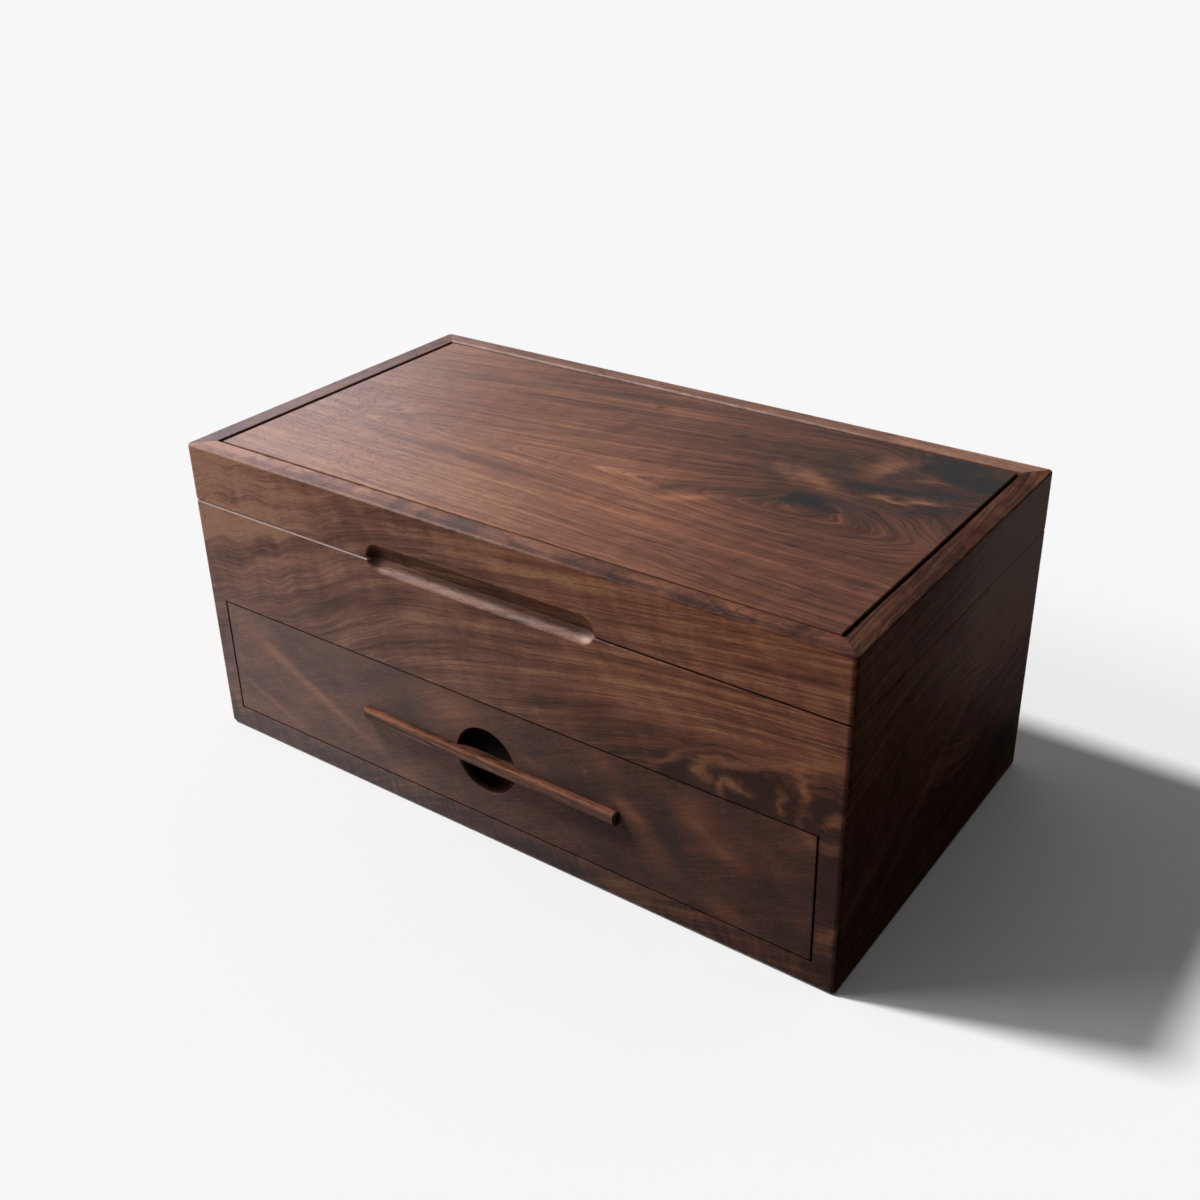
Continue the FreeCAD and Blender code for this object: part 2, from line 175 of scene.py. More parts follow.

# Marks in the wood, and a few spots of painted light and shade, in mm. Each row is a soft spot: its centre,
# its size, its strength and its turn in degrees. The front's and the drawer's are in X and Z, the panel's
# in
# X and Y, the right side's in Y and Z.
FRONT_BURL = ((152.0, 90.0), (42.0, 15.0), 1.0, 8.0)
FRONT_BURL_REACH = 38.0
FRONT_PALE = (
    ((10.0, 158.0), (70.0, 9.0), 0.18, 0.0),
    ((90.0, 118.0), (34.0, 14.0), 0.12, 0.0),
)
# painted glint on the floor of the finger cove
COVE_GLINT = ((61.0, 134.5), (4.0, 3.0), 0.6, 0.0)
# painted shade at the cove's left end
COVE_SHADE = ((-66.0, 138.0), (5.0, 12.0), 0.75, 0.0)
FRONT_SMOKE = (
    ((-47.0, 170.0), (5.0, 4.0), 0.55, 0.0),
    ((-8.0, 170.0), (12.0, 3.0), 0.50, 0.0),
    ((25.0, 5.0), (44.0, 8.0), 0.74, 0.0),
    ((-100.0, 5.0), (80.0, 7.0), 0.50, 0.0),
    ((140.0, 4.0), (50.0, 7.0), 0.18, 0.0),
)
FRONT_DARK = (
    ((-168.0, 112.0), (24.0, 5.0), 0.18, 20.0),
    ((-140.0, 125.0), (16.0, 4.0), 0.20, 10.0),
    ((-60.0, 112.0), (18.0, 5.0), 0.28, 32.0),
    ((-96.0, 104.0), (14.0, 8.0), 0.16, 30.0),
    ((-84.0, 150.0), (16.0, 4.0), 0.14, 10.0),
    ((36.0, 96.0), (16.0, 5.0), 0.24, 26.0),
    ((110.0, 88.0), (8.0, 8.0), 0.55, 0.0),
    ((138.0, 83.0), (16.0, 3.6), 0.60, 0.0),
    ((148.0, 97.0), (20.0, 8.0), 0.30, 12.0),
    ((152.0, 94.0), (5.0, 5.0), 0.35, 0.0),
    ((166.0, 92.0), (3.0, 8.0), 0.35, 0.0),
    ((177.0, 90.0), (3.0, 12.0), 0.45, 0.0),
    ((185.0, 103.0), (6.0, 7.0), 0.30, 0.0),
    ((186.0, 58.0), (5.0, 14.0), 0.25, 0.0),
    ((183.0, 12.0), (12.0, 12.0), 0.22, 0.0),
    ((-188.0, 30.0), (7.0, 44.0), 0.20, 0.0),
)
FRONT_LIGHT = (
    ((-127.0, 119.5), (22.0, 2.4), 0.55, 9.0),
    ((-92.0, 128.0), (9.0, 2.0), 0.50, 38.0),
    ((-184.0, 128.0), (16.0, 5.0), 0.30, 15.0),
    ((-20.0, 128.0), (16.0, 2.4), 0.30, 8.0),
    ((105.0, 92.0), (13.0, 2.4), 0.45, 38.0),
    ((136.0, 101.0), (22.0, 2.0), 0.50, 17.0),
    ((174.0, 114.0), (20.0, 2.6), 0.55, 20.0),
    ((122.0, 91.5), (3.0, 6.0), 0.55, -25.0),
    ((131.0, 88.0), (4.0, 2.6), 0.50, 50.0),
    ((139.0, 90.5), (7.0, 1.6), 0.55, -8.0),
    ((160.0, 90.0), (2.0, 6.0), 0.35, 10.0),
    ((170.5, 102.0), (2.4, 9.0), 0.45, 0.0),
    ((186.0, 91.0), (7.0, 2.2), 0.50, 38.0),
    ((184.0, 78.0), (6.0, 3.0), 0.35, 30.0),
    ((186.0, 32.0), (9.0, 2.6), 0.40, 50.0),
    ((76.0, 7.0), (11.0, 6.0), 0.40, 0.0),
)
PANEL_BURL = ((128.0, 42.0), (52.0, 30.0), 1.0, 0.0)
PANEL_BURL_REACH = 13.0
PANEL_ARCHES = ((-35.0, -4.0), (105.0, 22.0), 0.22, 0.0)
PANEL_DARK = ((85.0, 22.0), (66.0, 40.0), 0.26, 0.0)
PANEL_BENDS = (
    ((-134.0, -13.0), (24.0, 8.0), 13.0, 8.0),
    ((104.0, 6.0), (44.0, 22.0), -16.0, 8.0),
    ((110.0, 10.0), (15.0, 9.0), -12.0, 0.0),
    ((186.0, 2.0), (34.0, 26.0), 22.0, 0.0),
    ((160.0, 70.0), (36.0, 22.0), 34.0, 0.0),
)
PANEL_KNOTS = (
    ((109.0, 9.0), (11.0, 6.5), 1.40, -20.0),
    ((88.0, 3.0), (20.0, 3.0), 0.48, 12.0),
    ((124.0, 3.0), (12.0, 3.0), 0.55, 25.0),
    ((168.0, 70.0), (24.0, 11.0), 1.30, -8.0),
    ((146.0, 76.0), (20.0, 6.0), 0.80, 20.0),
    ((140.0, 86.0), (26.0, 4.5), 0.75, 4.0),
    ((146.0, 44.0), (30.0, 4.4), 0.90, 14.0),
    ((126.0, 35.0), (14.0, 4.0), 0.75, -10.0),
    ((160.0, 28.0), (22.0, 6.0), 0.75, 48.0),
)
PANEL_SMOKE = (
    ((112.0, 12.0), (18.0, 9.0), 0.35, 0.0),
    ((84.0, 0.0), (22.0, 4.0), 0.40, 8.0),
    ((160.0, 66.0), (30.0, 18.0), 0.35, 0.0),
    ((150.0, 40.0), (30.0, 14.0), 0.30, 20.0),
    ((49.0, -10.0), (14.0, 4.0), 0.60, 52.0),
    ((104.0, 52.0), (18.0, 5.0), 0.45, -58.0),
    ((84.0, 40.0), (12.0, 3.0), 0.30, -60.0),
    ((70.0, 38.0), (12.0, 3.0), 0.30, -60.0),
    ((-13.0, 34.0), (5.0, 16.0), 0.42, -14.0),
    ((-139.0, -10.0), (13.0, 2.2), 0.45, 26.0),
    ((-122.0, -14.0), (12.0, 2.2), 0.38, -24.0),
    ((-92.0, -13.0), (16.0, 1.8), 0.35, 6.0),
    ((-125.0, 54.0), (40.0, 4.0), 0.40, 9.0),
    ((-40.0, 74.0), (30.0, 4.0), 0.35, 12.0),
    ((-60.0, -38.0), (60.0, 4.0), 0.32, 0.0),
    ((-110.0, -76.0), (70.0, 3.0), 0.22, 0.0),
    ((30.0, 84.0), (60.0, 4.0), 0.30, 8.0),
    ((-12.6, 69.7), (2.6, 2.2), 0.80, 0.0),
    ((45.0, 59.3), (3.0, 1.8), 0.80, 0.0),
)
PANEL_RAGGED_LIGHT = (
    ((122.0, 62.0), (7.0, 13.0), 0.50, -32.0),
    ((99.0, 31.0), (20.0, 6.0), 0.46, -18.0),
    ((139.0, 28.5), (9.0, 2.4), 0.65, 12.0),
    ((153.0, 35.5), (7.0, 2.4), 0.62, 22.0),
    ((163.0, 75.0), (7.0, 4.0), 0.60, 0.0),
    ((150.0, 58.0), (12.0, 2.4), 0.35, 24.0),
)
PANEL_LIGHT = (
    ((60.0, -18.0), (11.0, 3.0), 0.80, 34.0),
    ((36.0, -28.0), (26.0, 3.0), 0.40, -8.0),
    ((-50.0, -27.0), (60.0, 2.6), 0.36, 0.0),
    ((-30.0, 8.0), (44.0, 3.4), 0.42, 13.0),
    ((-35.0, -9.0), (60.0, 9.0), 0.20, 5.0),
    ((-75.0, 58.0), (70.0, 3.4), 0.32, 12.0),
    ((-150.0, 88.0), (40.0, 5.0), 0.20, 6.0),
    ((0.0, 69.0), (16.0, 4.0), 0.20, 0.0),
)
DRAWER_SMOKE = (
    ((66.0, 66.0), (4.0, 9.0), 0.35, 25.0),
    ((107.0, 46.0), (19.0, 5.0), 0.50, -57.0),
    ((148.0, 70.0), (14.0, 8.0), 0.40, 0.0),
    ((161.0, 41.0), (12.0, 6.0), 0.45, 0.0),
    ((78.0, 26.0), (28.0, 8.0), 0.35, -12.0),
    ((-100.0, 66.0), (40.0, 12.0), 0.30, -15.0),
    ((-120.0, 28.0), (26.0, 9.0), 0.25, -25.0),
    ((-50.0, 64.0), (9.0, 14.0), 0.50, 12.0),
)
DRAWER_LIGHT = (
    ((-112.0, 44.0), (36.0, 3.0), 0.62, -25.4),
    ((-143.0, 60.0), (9.0, 4.0), 0.50, -20.0),
    ((-157.0, 72.0), (14.0, 8.0), 0.18, -10.0),
    ((-152.0, 27.0), (24.0, 2.2), 0.36, -23.0),
    ((-52.0, 16.0), (12.0, 3.0), 0.35, 0.0),
    ((-20.0, 70.0), (17.0, 12.0), 0.42, 0.0),
    ((29.0, 58.0), (9.0, 2.6), 0.22, -8.0),
    ((70.0, 73.0), (8.0, 7.0), 0.20, 0.0),
    ((83.0, 54.0), (10.0, 4.0), 0.38, -25.0),
    ((96.0, 41.0), (18.0, 6.0), 0.20, -50.0),
    ((118.0, 66.0), (9.0, 9.0), 0.34, -40.0),
    ((128.0, 56.0), (13.0, 3.0), 0.24, -30.0),
    ((131.0, 51.0), (12.0, 4.0), 0.28, 0.0),
    ((134.0, 20.0), (15.0, 5.0), 0.26, -15.0),
    ((174.0, 77.0), (6.0, 3.6), 0.45, -30.0),
    ((60.0, 66.0), (1.0, 1.0), 0.50, 0.0),
)
# painted light patches inside the recess's painted shade
DRAWER_GLOW = (
    ((12.0, 34.0), (9.0, 6.0), 0.8, 40.0),
    ((14.0, 53.0), (7.0, 12.0), 0.30, 0.0),
)
RIGHT_BEND = ((-30.0, 70.0), (50.0, 34.0), -26.0, 20.0)
RIGHT_SMOKE = (
    ((-58.0, 80.0), (28.0, 5.0), 0.55, 61.0),
    ((82.0, 32.0), (20.0, 12.0), 0.85, 0.0),
    ((66.0, 17.0), (22.0, 7.0), 0.60, 30.0),
    ((4.0, 72.0), (14.0, 5.0), 0.45, 0.0),
    ((60.0, 64.0), (30.0, 4.0), 0.30, 36.0),
    ((-90.0, 60.0), (10.0, 30.0), 0.40, 0.0),
)
RIGHT_LIGHT = (
    ((-66.0, 126.0), (38.0, 1.6), 0.40, 10.0),
    ((4.0, 60.0), (30.0, 5.0), 0.30, -4.0),
    ((-80.0, 46.0), (24.0, 4.0), 0.28, 26.0),
    ((8.0, 78.0), (56.0, 4.0), 0.40, 33.0),
    ((-8.0, 104.0), (34.0, 5.0), 0.30, 24.0),
    ((44.0, 116.0), (24.0, 9.0), 0.30, 10.0),
)


class Value:
    """A value in a node tree. Arithmetic on it adds Math nodes."""

    def __init__(self, socket):
        self.socket = socket

    def __add__(self, other):
        return maths("ADD", self, other)

    def __radd__(self, other):
        return maths("ADD", other, self)

    def __sub__(self, other):
        return maths("SUBTRACT", self, other)

    def __rsub__(self, other):
        return maths("SUBTRACT", other, self)

    def __mul__(self, other):
        return maths("MULTIPLY", self, other)

    def __truediv__(self, other):
        return maths("DIVIDE", self, other)

    def __neg__(self):
        return maths("MULTIPLY", self, -1.0)


def plug(slot, value):
    """Feed an input with a node value or a plain one."""
    if isinstance(value, Value):
        slot.id_data.links.new(value.socket, slot)
    else:
        slot.default_value = value


def maths(operation, *values):
    """Math node on plain numbers and node values."""
    tree = next(v.socket.id_data for v in values if isinstance(v, Value))
    node = tree.nodes.new("ShaderNodeMath")
    node.operation = operation
    for slot, value in zip(node.inputs, values):
        plug(slot, value)
    return Value(node.outputs[0])


def clip(value):
    """The value kept between 0 and 1."""
    result = maths("ADD", value, 0.0)
    result.socket.node.use_clamp = True
    return result


def above(value, low, high):
    """0 below low and 1 above high, with a smooth step between."""
    node = value.socket.id_data.nodes.new("ShaderNodeMapRange")
    node.interpolation_type = "SMOOTHSTEP"
    plug(node.inputs["Value"], value)
    node.inputs["From Min"].default_value = low
    node.inputs["From Max"].default_value = high
    return Value(node.outputs["Result"])


def below(value, low, high):
    """1 below low and 0 above high, with a smooth step between."""
    return 1.0 - above(value, low, high)


def rise(value, middle, width):
    """0 well below the middle and 1 well above it, with long soft ends."""
    return maths("TANH", (value - middle) * (1.0 / width)) * 0.5 + 0.5


def sink(value, middle, width):
    """1 well below the middle and 0 well above it, with long soft ends."""
    return 1.0 - rise(value, middle, width)


def cloudy(u, v, w, detail=2.0, roughness=0.5):
    """Soft noise between 0 and 1, whose blobs are about one unit across."""
    tree = u.socket.id_data
    place = tree.nodes.new("ShaderNodeCombineXYZ")
    for slot, value in zip(place.inputs, (u, v, w)):
        plug(slot, value)
    node = tree.nodes.new("ShaderNodeTexNoise")
    node.inputs["Scale"].default_value = 1.0
    node.inputs["Detail"].default_value = detail
    node.inputs["Roughness"].default_value = roughness
    tree.links.new(place.outputs[0], node.inputs["Vector"])
    return Value(node.outputs["Fac"])


def uneven(u, v, w, detail):
    """The same noise about 0, between -0.5 and 0.5."""
    return cloudy(u, v, w, detail) - 0.5


def streaks(place, sizes, detail):
    """Soft noise between 0 and 1, whose blobs have about these three sizes."""
    u, v, w = (way / size for way, size in zip(place, sizes))
    return cloudy(u, v, w, detail)


def ramp(value, stops):
    """Colour that runs through the stops, each a position and a linear colour."""
    node = value.socket.id_data.nodes.new("ShaderNodeValToRGB")
    elements = node.color_ramp.elements
    while len(elements) < len(stops):
        elements.new(0.5)
    for element, (position, colour) in zip(elements, stops):
        element.position = position
        element.color = (*colour, 1)
    plug(node.inputs["Fac"], value)
    return Value(node.outputs["Color"])


def tint(factor, first, second, mode="MIX"):
    """Mix of two colours."""
    node = factor.socket.id_data.nodes.new("ShaderNodeMix")
    node.data_type = "RGBA"
    node.blend_type = mode
    plug(node.inputs["Factor"], factor)
    for name, value in (("A", first), ("B", second)):
        slot = next(s for s in node.inputs if s.name == name and s.type == "RGBA")
        plug(slot, value if isinstance(value, Value) else (*value, 1))
    return Value(next(s for s in node.outputs if s.type == "RGBA"))


def spot(u, v, centre, size, strength, turn):
    """Soft spot in the plane of u and v, with its long way turned by some degrees."""
    du = u - centre[0]
    dv = v - centre[1]
    if turn:
        c, s = math.cos(math.radians(turn)), math.sin(math.radians(turn))
        du, dv = du * c + dv * s, dv * c - du * s
    away = du * du / (size[0] ** 2) + dv * dv / (size[1] ** 2)
    return maths("EXPONENT", -away) * strength


def marks(u, v, rows):
    """Sum of soft spots, one for each row: centre, size, strength and turn."""
    total = u * 0.0
    for centre, size, strength, turn in rows:
        total = total + spot(u, v, centre, size, strength, turn)
    return total


def steps(value, rows):
    """Sum of soft steps, one for each row: middle, width and height."""
    total = value * 0.0
    for middle, width, height in rows:
        total = total + rise(value, middle, width) * height
    return total


def coordinates(tree, kind):
    """The three coordinates of a place, as the Texture Coordinate node gives them."""
    node = tree.nodes.new("ShaderNodeTexCoord")
    split = tree.nodes.new("ShaderNodeSeparateXYZ")
    tree.links.new(node.outputs[kind], split.inputs[0])
    return [Value(output) for output in split.outputs]


def shown(tree):
    """1 for the rays that show a surface: camera, mirror and glass rays. 0 for those that only light."""
    rays = tree.nodes.new("ShaderNodeLightPath")
    kinds = ("Is Camera Ray", "Is Glossy Ray", "Is Transmission Ray")
    camera, mirror, glass = (Value(rays.outputs[kind]) for kind in kinds)
    return maths("MAXIMUM", camera, maths("MAXIMUM", mirror, glass))


def new_material(name):
    """Material with a Principled shader, and the place in the row frame in mm."""
    material = bpy.data.materials.new(name)
    material.use_nodes = True
    tree = material.node_tree
    place = [value * MM_PER_METRE for value in coordinates(tree, "Object")]
    return material, tree.nodes["Principled BSDF"], place


def relief(shader, height, distance):
    """Fine relief from a height in the shader's tree. The distance is in metres."""
    tree = height.socket.id_data
    node = tree.nodes.new("ShaderNodeBump")
    node.inputs["Distance"].default_value = distance
    plug(node.inputs["Height"], height)
    tree.links.new(node.outputs["Normal"], shader.inputs["Normal"])


def wood(along, across, depth, smoke=0.0, light=0.0, warm=0.0, tone_and_painted_light=0.0, painted_highlight=0.0, painted_haze_shade_and_dark_knots=0.0):
    """What a board's figure tells walnut(). The first three are the place in the board in mm: along the
    grain, across it and into the board. The rest are masks: smoky heartwood, golden wood (on the pull bar a
    painted highlight), a warm cast (or, below 0, a cool one), paler wood (or darker), partly the wood's own
    tone and partly painted light and its falloff, a painted highlight, and a painted haze of reflected
    light (or, below 0, painted shade, which in the panel also darkens the knots)."""
    zero = along * 0.0
    return along, across, depth, *(zero + mask for mask in (smoke, light, warm, tone_and_painted_light, painted_highlight, painted_haze_shade_and_dark_knots))


def walnut(name, figure, board, tone=0.5, gloss=0.035, bands=0.8, veins=0.6, rings=0.28, curls=0.25,
           satin=0.40, index=1.5):
    """Oiled walnut with a figure of its own. board is a number that no other board has, tone is how pale it
    is, and bands, veins, rings and curls are how strongly each kind of grain shows."""
    material, shader, place = new_material(name)
    u, g, w, smoke, light, warm, tone_and_painted_light, painted_highlight, painted_haze_shade_and_dark_knots = figure(*place)

    # the grain's lines wander a little, and each board lies in its own part of the noise
    u = u + board * BOARD_STEP
    g = g + (streaks((u, g, w), SLOW_WANDER, 1.0) - 0.5) * SLOW_WANDER_REACH
    g = g + (streaks((u, g, w), QUICK_WANDER, 1.0) - 0.5) * QUICK_WANDER_REACH

    # kinds of grain, most of them drawn out along the board
    here = (u, g, w)
    band = streaks(here, BAND, 2.0)
    vein = streaks(here, VEIN, 3.0)
    fibre = streaks(here, FIBRE, 2.0)
    curl = uneven(u / 8.0 + g / 30.0, g / 20.0, w / 28.0, 1.0)
    fade = above(streaks(here, RING_FADE, 1.0), 0.35, 0.62)
    phase = g / RING_SPACING + streaks(here, RING_WANDER, 1.0) * RING_WANDER_REACH
    ring = maths("POWER", maths("FRACT", phase), RING_SHARPNESS) * fade
    pore = above(streaks(here, PORE_STREAK, 1.0), 0.58, 0.70)
    dash = above(streaks(here, DASH_STREAK, 1.0), 0.60, 0.72)

    # the lift is partly the wood's own tone and partly painted light and its falloff
    value = tone_and_painted_light + tone + (band - 0.5) * bands + (vein - 0.5) * veins + (fibre - 0.5) * FIBRE_PART
    value = value + curl * curls - ring * rings - dash * DASH_PART
    colour = ramp(clip(value), WALNUT_STOPS)
    colour = tint(clip(light * (0.25 + vein * 1.5)), colour, GOLD)
    colour = tint(clip(smoke * (0.6 + vein * 0.8)) * (0.50 + fibre * 0.9), colour, SMOKE)
    colour = tint(clip(warm), colour, WARM_CAST, "MULTIPLY")
    colour = tint(clip(-warm), colour, COOL_CAST, "MULTIPLY")
    colour = tint(pore * PORE_PART, colour, PORE)
    # painted highlights, then a painted haze of reflected light, then painted shade that also darkens the
    # panel's knots
    colour = tint(clip(painted_highlight), colour, HIGHLIGHT_PAINT)
    colour = tint(clip(painted_haze_shade_and_dark_knots), colour, HAZE_PAINT)
    colour = tint(clip(-painted_haze_shade_and_dark_knots), colour, BLACK)
    plug(shader.inputs["Base Color"], colour)
    plug(shader.inputs["Roughness"], satin + (fibre - 0.5) * 0.15 + pore * 0.2)
    shader.inputs["IOR"].default_value = index
    shader.inputs["Specular IOR Level"].default_value = gloss
    relief(shader, fibre * 0.25 - pore, PORE_DEPTH)
    return material


def cove_mask(y, z):
    """1 on the floor and walls of the finger cove."""
    into = y - FRONT_FACE
    return above(into, 0.1, 1.6) * below(into, 4.3, 5.2) * above(z - SEAM, -6.8, -5.8)


def lid_cove_mask(y, z):
    """1 in the half of the finger cove that is in the lid."""
    return cove_mask(y, z) * above(z - SEAM, 0.1, 0.3)


def seam_mask(y, z):
    """1 on the rounded edge under the seam, on the front."""
    over = z - SEAM
    return above(over, -1.3, -0.7) * below(over, 0.0, 0.15) * below(y - FRONT_FACE, 1.4, 2.0)


def gap_mask(z, start, end):
    """1 on the walls of the gap round the panel. It comes in from start to end below the lid's top."""
    down = LID_TOP - z
    return above(down, start, end) * below(down, 6.0, 7.0)


def front_grain(x, y, z):
    """The way across the front's grain, which climbs to the right, and more steeply in the case."""
    low = x * CASE_SLOPE + steps(x, CASE_STEPS) + CASE_START
    high = x * LID_SLOPE + steps(x, LID_STEPS)
    across = z - low + rise(z, 130.0, 24.0) * (low - high)
    # a burl beside the drawer bends it, and the left end is rippled
    swirl = uneven(x / 12.0, z / 10.0, y / 20.0, 1.0)
    across = across + spot(x, z, *FRONT_BURL) * swirl * FRONT_BURL_REACH
    ripple = maths("SINE", x * 0.21 + cloudy(x / 40.0, z / 44.0, y / 20.0, 1.0) * 7.0)
    return across + ripple * sink(x, -90.0, 30.0) * 1.1


def front_tone_and_light(x, y, z, across, dark):
    """How much paler or darker than its tone the front is: partly the wood's own tone, and partly painted
    light, paler on the lid at the left and darker towards the right, with painted shade at the right end
    and in the cove.
    """
    upper = rise(z, 122.0, 14.0)
    left = sink(x, -118.0, 34.0)
    stripe = uneven(x / 2.6 + z / 9.0, z / 14.0, y / 20.0, 1.0)
    grain = uneven(x / 34.0, across / 2.2, y / 9.0, 3.0)
    tone_and_painted_light = stripe * sink(z, 15.0, 6.0) * 0.90 - dark + marks(x, z, FRONT_PALE)
    # painted light: paler on the lid at the left
    tone_and_painted_light = tone_and_painted_light + upper * left * 0.38 - (1.0 - upper) * 0.01
    # painted light falloff: darker round the burl and towards the right, partly the burl's own colour, and
    # more marked grain at the right
    tone_and_painted_light = tone_and_painted_light - sink(z, 102.0, 7.0) * (rise(z, 40.0, 20.0) * 0.36 + 0.23) * rise(x, 66.0, 34.0)
    tone_and_painted_light = tone_and_painted_light + grain * (rise(x, 80.0, 40.0) * 0.75 + upper * left * 0.25) + rise(x, 90.0, 40.0) * 0.05
    # painted light falloff on the lid's top, most at the right, painted shade at the right end, the bottom
    # rail darker, and painted shade in the lid's half of the cove
    tone_and_painted_light = tone_and_painted_light - below(LID_TOP - z, 0.6, 1.6) * (0.05 + rise(x, 45.0, 24.0) * 0.40)
    tone_and_painted_light = tone_and_painted_light - rise(x, 178.0, 5.0) * (0.14 - upper * 0.06) - sink(z, 17.0, 4.0) * 0.19
    return tone_and_painted_light - lid_cove_mask(y, z) * 0.12


def front_highlights(x, y, z):
    """Painted highlights on the rounded edge under the seam and on the arris of the lid, and a painted
    sheen and glint on the floor of the finger cove.
    """
    over = z - SEAM
    floor = cove_mask(y, z) - lid_cove_mask(y, z)
    seam = seam_mask(y, z)
    arris = below(LID_TOP - z, 0.9, 1.4) * below(y - FRONT_FACE, 0.4, 1.1)
    speckle = cloudy(x / 2.2, z / 1.5, y / 1.5, 2.0)
    sheen = cloudy(x / 7.0, z / 1.4, y / 1.4, 3.0, 0.7) * 2.0 - 0.35
    # painted highlight on the rounded edge under the seam, left of the cove
    painted_highlight = seam * sink(x, 66.0, 8.0) * 0.85
    painted_highlight = painted_highlight + seam * below(over, -0.8, -0.6) * sink(x, 105.0, 14.0) * (speckle * 2.0 - 0.75)
    # painted highlight on the arris of the lid
    painted_highlight = painted_highlight + arris * sink(x, 20.0, 60.0) * (speckle * 0.9 - 0.05)
    # painted sheen and a painted glint on the cove's floor
    fade = (1.0 - above(over, -4.2, -1.4) * 0.75) * (0.52 - rise(x, 30.0, 60.0) * 0.14)
    return painted_highlight + floor * fade * sheen + floor * spot(x, z, *COVE_GLINT)


def front_haze_and_shade(x, y, z):
    """A painted haze of reflected light low on the left, and painted shade in the cove, under the seam, in
    the drawer's opening and in the gap.
    """
    into = y - FRONT_FACE
    # painted haze of reflected light, most low on the left
    painted_haze_shade_and_dark_knots = sink(x, -20.0, 130.0) * sink(z, 96.0, 50.0) * 0.17 + 0.02
    painted_haze_shade_and_dark_knots = painted_haze_shade_and_dark_knots * sink(z, 160.0, 6.0) - lid_cove_mask(y, z) * 0.20
    # painted shade under the seam right of the cove, and at the cove's left end
    painted_haze_shade_and_dark_knots = painted_haze_shade_and_dark_knots - seam_mask(y, z) * above(z - SEAM, -0.7, -0.5) * rise(x, 66.0, 5.0) * 0.85
    painted_haze_shade_and_dark_knots = painted_haze_shade_and_dark_knots - cove_mask(y, z) * spot(x, z, *COVE_SHADE)
    # painted shade in the drawer's opening and in the gap round the panel
    opening = above(into, 0.2, 0.6) * below(into, 1.4, 2.4) * above(z, 8.0, 9.0) * below(z, 90.0, 91.0)
    painted_haze_shade_and_dark_knots = painted_haze_shade_and_dark_knots - opening * below(maths("ABSOLUTE", x), 184.0, 185.0) * 0.85
    shaded_gap = gap_mask(z, 0.6, 1.4) * above(y, FRONT_RAIL_INNER - 1.2, FRONT_RAIL_INNER - 0.8)
    return painted_haze_shade_and_dark_knots - shaded_gap * 0.8


def front_figure(x, y, z):
    """Case front and lid front rail, sawn from one board, with ragged marks that the noise shifts."""
    px = x + uneven(x / 12.0 + 3.0, z / 8.0, y / 20.0, 2.0) * 16.0
    pz = z + uneven(x / 14.0, z / 8.0 + 5.0, y / 20.0, 2.0) * 10.0
    across = front_grain(x, y, z)
    return wood(x, across, y, smoke=marks(x, z, FRONT_SMOKE), light=marks(px, pz, FRONT_LIGHT),
                warm=rise(x, 20.0, 120.0) * 1.2 - 0.40,
                tone_and_painted_light=front_tone_and_light(x, y, z, across, marks(px, pz, FRONT_DARK)),
                painted_highlight=front_highlights(x, y, z), painted_haze_shade_and_dark_knots=front_haze_and_shade(x, y, z))


def panel_figure(x, y, z):
    """Lid panel: arched grain about a slanting line, bent by an eye at the left and knots at the right."""
    down = LID_TOP - z
    away = y - ((x + 150.0) * 0.05 - 20.0)
    g = maths("SQRT", away * away + 9.0) - x * (rise(y, 5.0, 20.0) * 0.05 + 0.075)
    g = g + marks(x, y, PANEL_BENDS)
    swirl = uneven(x / 17.0, y / 11.0, z / 20.0, 1.0)
    g = g + spot(x, y, *PANEL_BURL) * swirl * PANEL_BURL_REACH

    # ragged knots, in places that the noise shifts, and softer smoke and light
    mottle = cloudy(x / 13.0 + y / 30.0, y / 5.5 - x / 26.0, z / 20.0, 3.0, 0.6)
    flecks = cloudy(x / 4.6 + y / 9.0, y / 2.3, z / 20.0, 2.0)
    px = x + uneven(x / 11.0 + 5.0, y / 8.0, z / 20.0, 2.0) * 20.0
    py = y + uneven(x / 12.0, y / 8.0 + 9.0, z / 20.0, 2.0) * 14.0
    knots = marks(px, py, PANEL_KNOTS)
    smoke = marks(x, y, PANEL_SMOKE) * (0.30 + mottle * 1.40)
    smoke = smoke + above(knots, 0.28, 1.0) * (0.35 + flecks * 0.75 + mottle * 0.55)
    light = marks(px, py, PANEL_RAGGED_LIGHT) + marks(x, y, PANEL_LIGHT)

    # painted light falloff, with the wood's own tone: paler at the front left, darker at the right and the
    # back, with arched lines in the middle
    tone_and_painted_light = sink(y, -50.0, 22.0) * sink(x, -10.0, 40.0) * 0.15 - rise(x, 85.0, 45.0) * 0.40
    tone_and_painted_light = tone_and_painted_light - rise(y, 26.0, 24.0) * rise(x, -100.0, 40.0) * 0.26 - spot(x, y, *PANEL_DARK)
    arch = maths("POWER", maths("FRACT", g / ARCH_SPACING + swirl * 0.7), ARCH_SHARPNESS)
    tone_and_painted_light = tone_and_painted_light - arch * spot(x, y, *PANEL_ARCHES)

    # painted shade on the walls of the gap round the panel, and darker knots in the wood's own colour
    shaded_wall = above(down, 0.6, 1.2) * below(down, 6.5, 7.5)
    return wood(x, g, z, smoke=smoke * (1.0 - shaded_wall), light=light * 0.9,
                warm=rise(x, -40.0, 140.0) * 0.55 - 0.05, tone_and_painted_light=tone_and_painted_light,
                painted_haze_shade_and_dark_knots=shaded_wall * -0.7 - above(knots, 0.5, 1.3) * 0.25)


